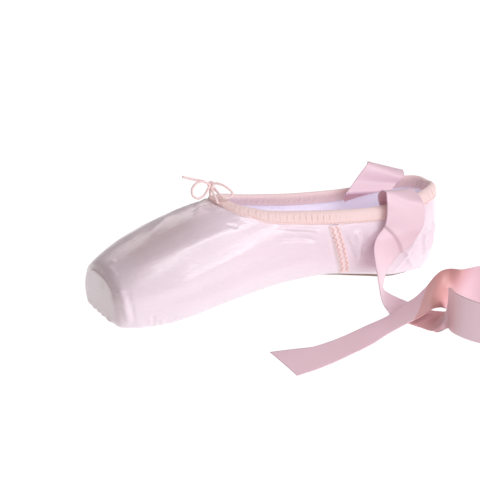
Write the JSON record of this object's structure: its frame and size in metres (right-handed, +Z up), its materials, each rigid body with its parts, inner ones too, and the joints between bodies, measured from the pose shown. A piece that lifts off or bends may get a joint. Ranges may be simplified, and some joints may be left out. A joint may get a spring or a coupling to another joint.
{
  "type": "pointe shoe",
  "caption": "Satin ballet pointe shoe with a flat stiff platform toe, leather sole, bound collar with a drawstring bow, and loose ankle ribbons.",
  "frame": {"origin": "on the floor, under the middle of the shoe without its ribbons and bow", "axes": "+Z up, -X towards the toe, +X towards the heel, -Y towards the side seen in the picture"},
  "size_m": [0.2363, 0.2817, 0.0821],
  "materials": {
    "satin": "silky satin",
    "tape": "woven cotton tape",
    "leather": "matt suede leather",
    "lining": "matt cotton lining",
    "ribbon": "silky satin ribbon"
  },
  "bodies": {
    "root": {"upper": "satin", "outsole": "leather", "insole": "lining", "collar_casing": "tape", "side_seam_near": "tape", "side_seam_far": "tape", "ribbon_near": "ribbon", "ribbon_far": "ribbon", "bow_knot": "tape", "drawstring_far": "tape", "drawstring_near": "tape", "bow_loop_left": "tape", "bow_loop_right": "tape", "bow_end_left": "tape", "bow_end_right": "tape"}
  },
  "joints": []
}
